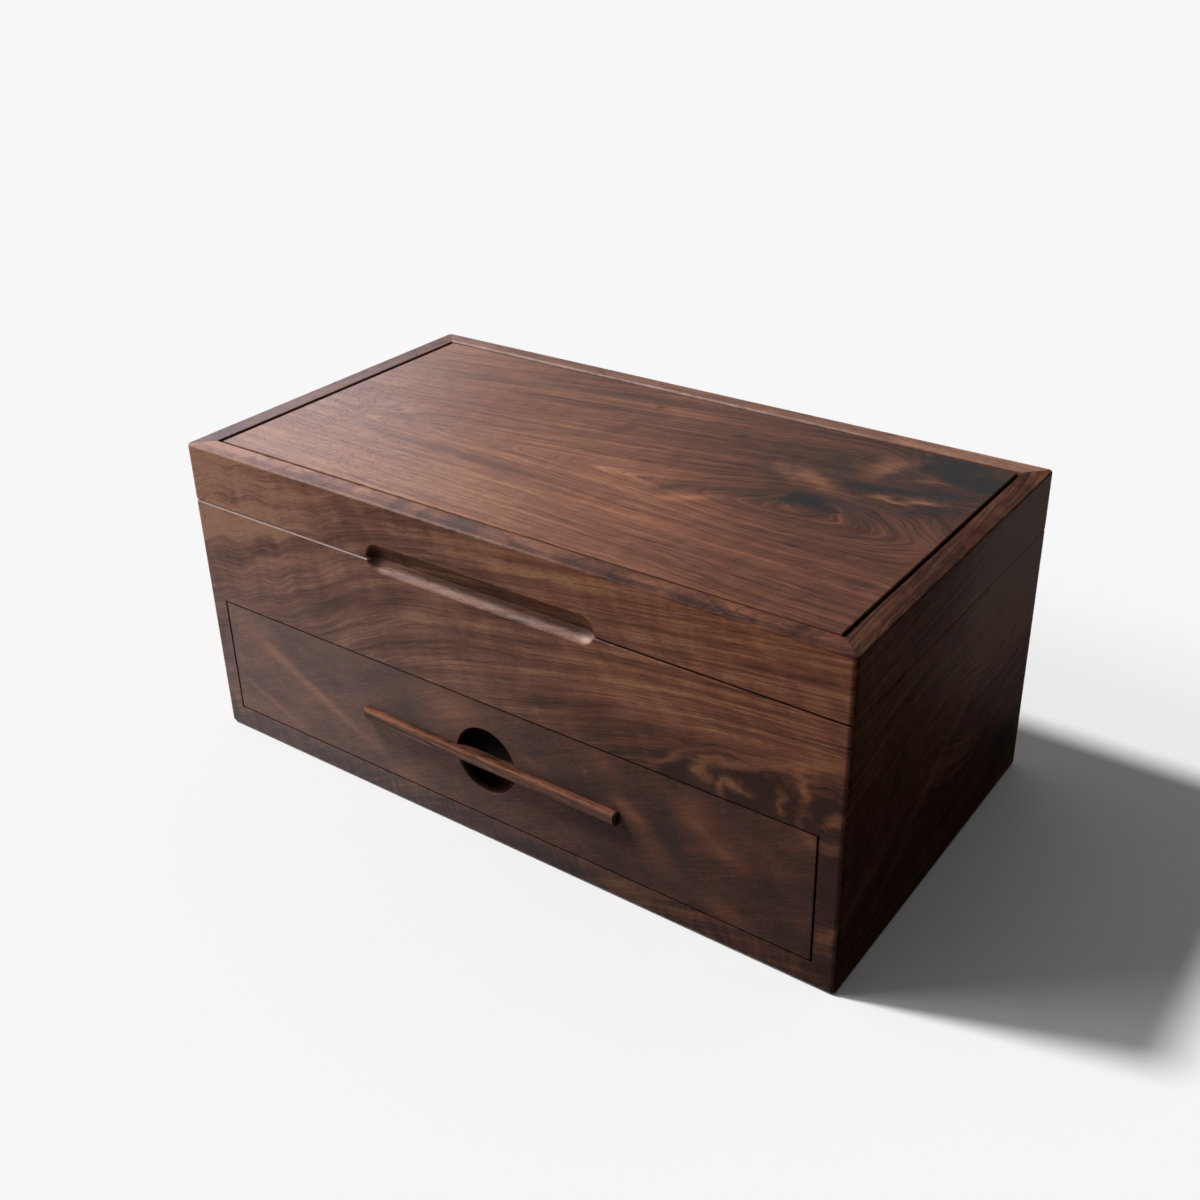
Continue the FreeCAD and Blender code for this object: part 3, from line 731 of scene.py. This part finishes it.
def drawer_figure(x, y, z):
    """Drawer front: grain on a slant, soft clouds and a streak of light wood, darker towards the right, a
    painted haze at the left, and painted shade in the recess and on the board's edges.
    """
    into = y - FRONT_FACE
    height = z - DRAWER_MIDDLE
    side = maths("ABSOLUTE", x)

    # painted shade in the round recess behind the pull, where the squares are of 18.2 and 19.5 mm
    recess = above(into, 0.6, 5.0) * below(into, 8.1, 8.3)
    recess = recess * below(x * x + height * height, 330.0, 380.0)
    # painted shade as dark lines on the board's edges, and on its arrises at the top and right
    rim = above(into, 0.3, 0.6) * below(into, 1.1, 1.8)
    rim = rim * clip(above(maths("ABSOLUTE", height), 30.0, 31.0)
                     + above(side, DRAWER_END - 1.7, DRAWER_END - 0.7))
    arris = clip(above(z, DRAWER_TOP - 0.45, DRAWER_TOP - 0.25) + above(x, DRAWER_END - 0.2, DRAWER_END))
    rim = rim + below(into, 0.4, 0.7) * arris

    clouds = uneven(x / 30.0 + 3.0, z / 17.0, y / 30.0, 3.0)
    grit = uneven(x / 2.0 + z / 4.0, z / 1.2, y / 3.0, 2.0)
    # darker towards the right and paler at the far left, partly painted light falloff and partly the wood's
    # own colour
    tone_and_painted_light = clouds * 0.70 + grit * 0.50 - rise(x, 0.0, 60.0) * 0.30 + sink(x, -110.0, 40.0) * 0.10
    # painted haze of reflected light at the left, and painted shade in the recess, lit in places, and on
    # the edges
    painted_haze_shade_and_dark_knots = sink(x, -30.0, 100.0) * 0.15 + 0.04
    painted_haze_shade_and_dark_knots = painted_haze_shade_and_dark_knots - recess * (1.0 - marks(x, z, DRAWER_GLOW)) * 1.1 - clip(rim) * 0.85
    fade = (1.0 - recess) * (1.0 - rise(x, 40.0, 40.0) * 0.2)
    return wood(x * 0.91 + z * 0.42, z * 0.91 - x * 0.42, y,
                smoke=marks(x, z, DRAWER_SMOKE) * (1.0 - recess) * 0.8,
                light=marks(x, z, DRAWER_LIGHT) * fade,
                warm=rise(x, 20.0, 110.0) * 0.7 + 0.35, tone_and_painted_light=tone_and_painted_light, painted_haze_shade_and_dark_knots=painted_haze_shade_and_dark_knots)


def pull_figure(x, y, z):
    """Pull bar: a painted highlight along its top bevel, a painted haze on its face, and painted shade at
    its right end and where it meets the drawer front.
    """
    down = PULL_TOP - z
    # painted highlight along the top bevel
    glow = above(down, 0.01, 0.1) * below(down, 0.5, 1.0) * 0.30
    # paler at the left, and painted shade where the bar meets the drawer front
    tone_and_painted_light = sink(x, -60.0, 30.0) * 0.05 - above(y - FRONT_FACE, -1.6, -0.4) * 0.22 - 0.04
    # painted haze on the face below the bevel, and painted shade on the right end
    painted_haze_shade_and_dark_knots = above(down, 0.9, 1.5) * 0.07 - above(x, PULL_END - 1.35, PULL_END - 0.95) * 0.85
    return wood(x, z + x * 0.03, y, light=glow, warm=0.3, tone_and_painted_light=tone_and_painted_light, painted_haze_shade_and_dark_knots=painted_haze_shade_and_dark_knots)


def right_figure(x, y, z):
    """Right side of the case and the lid, with painted light: paler higher up and towards the back, where a
    painted haze of reflected light dulls it, and painted shade in the gap.
    """
    top = below(LID_TOP - z, 0.5, 1.5)
    side = 1.0 - top
    behind = rise(y, 8.0, 36.0)
    g = z - y * 0.13 + rise(z, 62.0, 26.0) * (y * 0.02)
    g = g + spot(y, z, *RIGHT_BEND)
    g = g * side + (x + y * 0.05) * top
    # painted light: paler higher up and towards the back; the rail's top darker
    tone_and_painted_light = rise(z, 88.0, 30.0) * 0.28 + behind * (0.12 + rise(z, 84.0, 14.0) * 0.56 * side) - top * 0.38
    shaded_gap = gap_mask(z, 0.6, 1.4) * below(x, RIGHT_RAIL_INNER + 0.6, RIGHT_RAIL_INNER + 1.0)
    # painted haze of reflected light towards the back, and painted shade in the gap
    painted_haze_shade_and_dark_knots = behind * rise(z, 118.0, 30.0) * 0.46 * side + top * 0.01 - shaded_gap * 0.95
    return wood(y, g, x, smoke=marks(y, z, RIGHT_SMOKE), light=marks(y, z, RIGHT_LIGHT),
                warm=side * 0.4 + top * 0.1, tone_and_painted_light=tone_and_painted_light, painted_haze_shade_and_dark_knots=painted_haze_shade_and_dark_knots)


def back_figure(x, y, z):
    """Back of the case and the lid, with a painted glint on the arris beside the panel, paler on the rail's
    top with a painted haze there, and painted shade in the gap.
    """
    down = LID_TOP - z
    shaded_gap = gap_mask(z, 1.6, 2.2) * below(y, BACK_RAIL_INNER + 0.8, BACK_RAIL_INNER + 1.2)
    # painted glint on the arris beside the panel
    glint = below(down, 1.2, 1.6) * below(y, BACK_RAIL_INNER + 1.8, BACK_RAIL_INNER + 2.6)
    glint = glint * sink(x, 60.0, 60.0) * (cloudy(x / 5.0, y / 3.0, z / 3.0, 2.0) * 1.1 - 0.15)
    # paler on the rail's top, with a painted haze there, and painted shade in the gap
    return wood(x, z + x * 0.03, y, tone_and_painted_light=rise(z, 166.0, 2.0) * 0.07, painted_highlight=glint,
                painted_haze_shade_and_dark_knots=below(down, 0.5, 1.5) * 0.035 - shaded_gap * 0.8)


def plain_figure(along, across, depth, warm=0.0):
    """Figure of a straight-grained board, whose three ways are given as axes."""
    def figure(*place):
        return wood(place[along], place[across] + place[along] * 0.03, place[depth], warm=warm)
    return figure


def brass():
    """Brushed brass for the hinges and their screws."""
    material, shader, (x, y, z) = new_material("brass")
    brushed = cloudy(x / 4.0, y / 0.12, z / 0.12, 2.0)
    clouded = cloudy(x / 9.0, y / 9.0, z / 9.0, 3.0)
    plug(shader.inputs["Base Color"], tint(above(clouded, 0.35, 0.7), BRASS, BRASS_DULL))
    shader.inputs["Metallic"].default_value = 1.0
    plug(shader.inputs["Roughness"], 0.24 + (brushed - 0.5) * 0.2 + (clouded - 0.5) * 0.1)
    relief(shader, brushed, BRUSH_DEPTH)
    return material


def suede():
    """Napped suede cloth, brushed a little lighter and darker in patches."""
    material, shader, (x, y, z) = new_material("liner_suede")
    nap = uneven(x / 22.0, y / 14.0, z / 9.0, 3.0)
    fibre = cloudy(x / 0.35, y / 0.35, z / 0.35, 2.0)
    value = clip(0.5 + nap * 0.35 + (fibre - 0.5) * 1.1)
    plug(shader.inputs["Base Color"], ramp(value, SUEDE_STOPS))
    shader.inputs["Roughness"].default_value = 0.95
    shader.inputs["Specular IOR Level"].default_value = 0.15
    shader.inputs["Sheen Weight"].default_value = 0.35
    shader.inputs["Sheen Roughness"].default_value = 0.5
    relief(shader, fibre, FIBRE_DEPTH)
    return material


MATERIALS = {
    "front": walnut("walnut_front_board", front_figure, 1, tone=0.66, bands=1.0, curls=0.42),
    "panel": walnut("walnut_lid_panel", panel_figure, 2, tone=0.71, gloss=0.032, bands=0.45, veins=0.88,
                    rings=0.24, satin=0.30),
    "drawer": walnut("walnut_drawer_front_board", drawer_figure, 6, tone=0.45, bands=0.30, veins=0.22,
                     rings=0.0, curls=0.15),
    "right": walnut("walnut_right_board", right_figure, 5, tone=0.20, gloss=0.06, bands=0.7, veins=0.9,
                    curls=0.4, index=1.08),
    "back": walnut("walnut_back_board", back_figure, 3, tone=0.60),
    "left": walnut("walnut_left_board", plain_figure(Y, Z, X, warm=-0.2), 4, tone=0.42, veins=0.8),
    "pull": walnut("walnut_pull_bar", pull_figure, 7, tone=0.47, veins=1.6, rings=0.4),
    "inside": walnut("walnut_inside_boards", plain_figure(X, Y, Z), 8, tone=0.66, gloss=0.2),
    "inside_cross": walnut("walnut_inside_cross_boards", plain_figure(Y, Z, X), 9, tone=0.66, gloss=0.2),
    "brass": brass(),
    "suede": suede(),
}

# The hinges are brass, and the nodes that aren't listed are inside boards with their grain along X
DRESS = {
    "front": ("case_front", "lid_front_rail"),
    "back": ("case_back", "lid_back_rail"),
    "left": ("case_left_side", "lid_left_rail"),
    "right": ("case_right_side", "lid_right_rail"),
    "panel": ("lid_panel",),
    "drawer": ("drawer_front",),
    "pull": ("pull_bar",),
    "inside_cross": ("front_divider", "back_divider", "drawer_left_side", "drawer_right_side",
                     "drawer_runner_left", "drawer_runner_right", "drawer_kicker_left",
                     "drawer_kicker_right"),
}

# Each liner: the body that it rides on and the node that it lies on
LINERS = {
    "liner_front_left": ("case", "compartment_floor"),
    "liner_front_right": ("case", "compartment_floor"),
    "liner_back_left": ("case", "compartment_floor"),
    "liner_back_right": ("case", "compartment_floor"),
    "drawer_liner": ("drawer", "drawer_bottom"),
}


def dress_nodes():
    """Give every CAD node its material."""
    chosen = {node: key for key, nodes in DRESS.items() for node in nodes}
    for name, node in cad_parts.items():
        key = chosen.get(name, "brass" if name.startswith("hinge") else "inside")
        node.data.materials.clear()
        node.data.materials.append(MATERIALS[key])


def spaced(length):
    """Places along an edge in metres, close together at both ends."""
    middle = length - 2 * LINER_BORDER
    count = max(2, round(middle / LINER_STEP))
    places = [LINER_BORDER + middle * i / count for i in range(count + 1)]
    return [*LINER_EDGE_PLACES, *places, *(length - place for place in reversed(LINER_EDGE_PLACES))]


def liner_top(x, y, width, length, thick):
    """Where a place of a flat rectangle goes on a liner's top: its corners and its edge are rounded."""
    cx = min(max(x, LINER_CORNER), width - LINER_CORNER)
    cy = min(max(y, LINER_CORNER), length - LINER_CORNER)
    px, py = x, y
    out = math.hypot(x - cx, y - cy)
    if x != cx and y != cy:
        square = max(abs(x - cx), abs(y - cy))
        px, py = cx + (x - cx) * square / out, cy + (y - cy) * square / out
        out = square
    inside = LINER_CORNER - out if out else min(x, y, width - x, length - y)
    slope = min(1.0, inside / LINER_EDGE)
    height = LINER_FOOT + (thick - LINER_SLACK) * math.sqrt(max(0.0, 1.0 - (1.0 - slope) ** 2))
    return px, py, height, slope


def make_liner(name, body):
    """Suede wrapped over card: round-edged, and a little uneven where the cloth is pulled over."""
    low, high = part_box(name)
    width, length, thick = (high[i] - low[i] for i in (X, Y, Z))
    mesh = bmesh.new()
    rows = []
    for y in spaced(length):
        row = []
        for x in spaced(width):
            px, py, height, slope = liner_top(x, y, width, length, thick)
            bump = noise.noise((x * RIPPLES_PER_METRE + low[X] * RIPPLE_SHIFT_PER_METRE,
                                y * RIPPLES_PER_METRE, RIPPLE_SLICE)) * LINER_RIPPLE
            row.append(mesh.verts.new((low[X] + px, low[Y] + py, low[Z] + height + bump * slope)))
        rows.append(row)
    for lower, upper in zip(rows, rows[1:]):
        for a, b, c, d in zip(lower, lower[1:], upper[1:], upper):
            mesh.faces.new((a, b, c, d))
    # the edge goes straight down to the card's flat underside
    rim = rows[0] + [row[-1] for row in rows[1:-1]] + rows[-1][::-1] + [row[0] for row in rows[-2:0:-1]]
    foot = [mesh.verts.new((v.co.x, v.co.y, low[Z])) for v in rim]
    for i in range(len(rim)):
        j = (i + 1) % len(rim)
        mesh.faces.new((rim[j], rim[i], foot[i], foot[j]))
    mesh.faces.new(foot[::-1])
    data = bpy.data.meshes.new(name + "_suede")
    mesh.to_mesh(data)
    mesh.free()
    data.polygons.foreach_set("use_smooth", [True] * len(data.polygons))
    data.polygons[-1].use_smooth = False
    data.materials.append(MATERIALS["suede"])
    piece = bpy.data.objects.new(name + "_suede", data)
    bpy.context.scene.collection.objects.link(piece)
    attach(piece, body)
    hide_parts(name)


def make_camera():
    """Camera with the photograph's place, direction, roll and framing."""
    data = bpy.data.cameras.new("camera")
    data.lens = CAMERA_LENS
    data.sensor_width = CAMERA_SENSOR
    data.shift_x, data.shift_y = CAMERA_SHIFT
    data.clip_start = CAMERA_NEAR
    camera = bpy.data.objects.new("camera", data)
    bpy.context.scene.collection.objects.link(camera)
    azimuth, elevation = math.radians(CAMERA_AZIMUTH), math.radians(CAMERA_ELEVATION)
    back = Vector((math.sin(azimuth) * math.cos(elevation),
                   -math.cos(azimuth) * math.cos(elevation), math.sin(elevation)))
    level = Vector((0, 0, 1)).cross(back).normalized()
    right = Matrix.Rotation(math.radians(CAMERA_ROLL), 3, back) @ level
    turned = Matrix((right, back.cross(right), back)).transposed().to_4x4()
    camera.matrix_world = Matrix.Translation(CAMERA_PLACE) @ turned
    bpy.context.scene.camera = camera


def make_floor():
    """Pale floor, whose left part gives the box its soft light from below."""
    half = FLOOR_SIZE / 2
    mesh = bpy.data.meshes.new("floor")
    corners = ((-half, -half, 0), (half, -half, 0), (half, half, 0), (-half, half, 0))
    mesh.from_pydata(corners, [], [(0, 1, 2, 3)])
    floor = bpy.data.objects.new("floor", mesh)
    bpy.context.scene.collection.objects.link(floor)
    material, shader, (x, y, _) = new_material("floor")
    shader.inputs["Roughness"].default_value = FLOOR_ROUGHNESS
    shader.inputs["Specular IOR Level"].default_value = 0.0
    side = above(x + y * 0.15, FLOOR_BOUNCE_FROM, FLOOR_BOUNCE_TO)
    bounce = tint(side, FLOOR_BOUNCE_LEFT, FLOOR_BOUNCE_RIGHT)
    plug(shader.inputs["Base Color"], tint(shown(material.node_tree), bounce, FLOOR_COLOUR))
    mesh.materials.append(material)


def make_lamps():
    """Three lamps. The sheen lamp is a big soft box that is only mirrored."""
    for name, travel, strength, angle, colour in LAMPS:
        sun = bpy.data.lights.new(name, "SUN")
        sun.energy = strength
        sun.angle = math.radians(angle)
        sun.color = colour
        lamp = bpy.data.objects.new(name, sun)
        lamp.rotation_mode = "QUATERNION"
        lamp.rotation_quaternion = Vector(travel).to_track_quat("-Z", "Y")
        lamp.visible_diffuse = name != "sheen"
        bpy.context.scene.collection.objects.link(lamp)


def make_sky():
    """Soft fill from above and one side. The camera and mirrors see a plain pale background instead."""
    world = bpy.data.worlds.new("studio")
    bpy.context.scene.world = world
    world.use_nodes = True
    tree = world.node_tree
    x, y, z = coordinates(tree, "Generated")
    azimuth, elevation = math.radians(SKY_AZIMUTH), math.radians(SKY_ELEVATION)
    facing = (x * (math.cos(azimuth) * math.cos(elevation)) + y * (math.sin(azimuth) * math.cos(elevation))
              + z * math.sin(elevation))
    fill = above(facing, SKY_EDGE, 1.0) * SKY_BRIGHT + SKY_DARK
    plug(tree.nodes["Background"].inputs["Color"], tint(shown(tree), fill, BACKGROUND))


dress_nodes()
for name, (body, carrier) in LINERS.items():
    make_liner(name, body)
make_camera()
make_floor()
make_lamps()
make_sky()
bpy.context.scene.view_settings.view_transform = "Standard"
